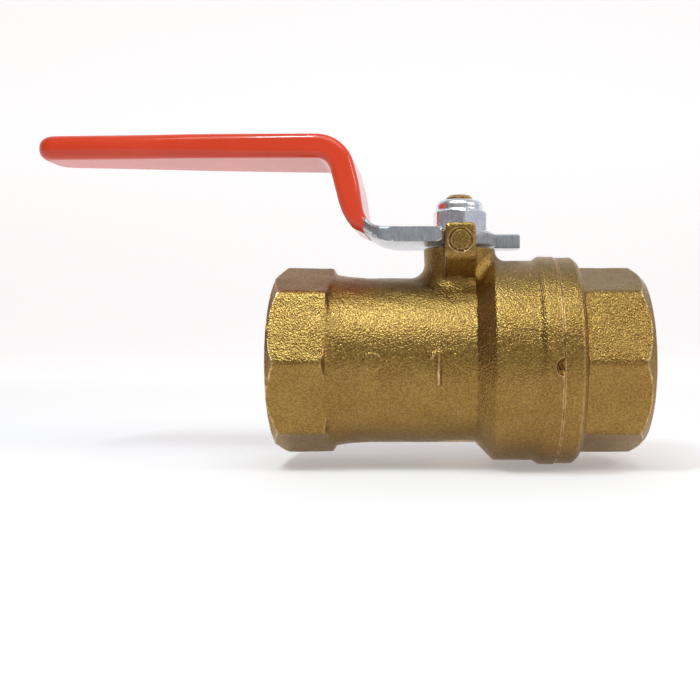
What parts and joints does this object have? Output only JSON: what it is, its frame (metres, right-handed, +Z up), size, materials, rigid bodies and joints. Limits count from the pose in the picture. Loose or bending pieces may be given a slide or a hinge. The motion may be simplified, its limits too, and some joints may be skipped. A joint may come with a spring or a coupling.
{
  "type": "ball valve",
  "caption": "Two-piece brass ball valve with threaded pipe ends and a bent steel lever in a red vinyl sleeve, shown open.",
  "frame": {"origin": "centre of the ball, where the pipe axis meets the stem axis", "axes": "+X along the pipe towards the end connector, +Z up the stem, the open lever points along -X and the stop lug is on the -Y side"},
  "size_m": [0.1299, 0.0452, 0.0708],
  "materials": {
    "cast_brass": "shot-blasted casting",
    "turned_brass": "turned",
    "lever_steel": "zinc plated, sheared edges",
    "red_vinyl": "dipped, glossy",
    "plated_nut": "bright zinc",
    "nylon": "moulded",
    "white_seal": "turned fluoropolymer",
    "ball_chrome": "polished"
  },
  "bodies": {
    "casing": {"valve_body": "cast_brass", "end_connector": "cast_brass", "inlet_seat_ring": "white_seal", "outlet_seat_ring": "white_seal", "joint_gasket": "white_seal", "stem_thrust_washer": "white_seal", "packing_base_ring": "white_seal", "packing_v_ring": "white_seal", "packing_top_ring": "white_seal", "gland_nut": "turned_brass"},
    "lever": {"stem": "turned_brass", "handle_lever": "lever_steel", "handle_sleeve": "red_vinyl", "lock_nut": "plated_nut", "nut_insert_ring": "nylon"},
    "ball": {"ball": "ball_chrome"}
  },
  "joints": [
    {"name": "lever_turn", "type": "hinge", "parent": "casing", "child": "lever", "pos_m": [0, 0, 0], "axis": [0, 0, -1], "range_deg": [0, 90]},
    {"name": "ball_turn", "type": "hinge", "parent": "casing", "child": "ball", "pos_m": [0, 0, 0], "axis": [0, 0, -1], "range_deg": [0, 90]}
  ],
  "couplings": [
    {"joint": "ball_turn", "follows": "lever_turn", "ratio": 1}
  ]
}
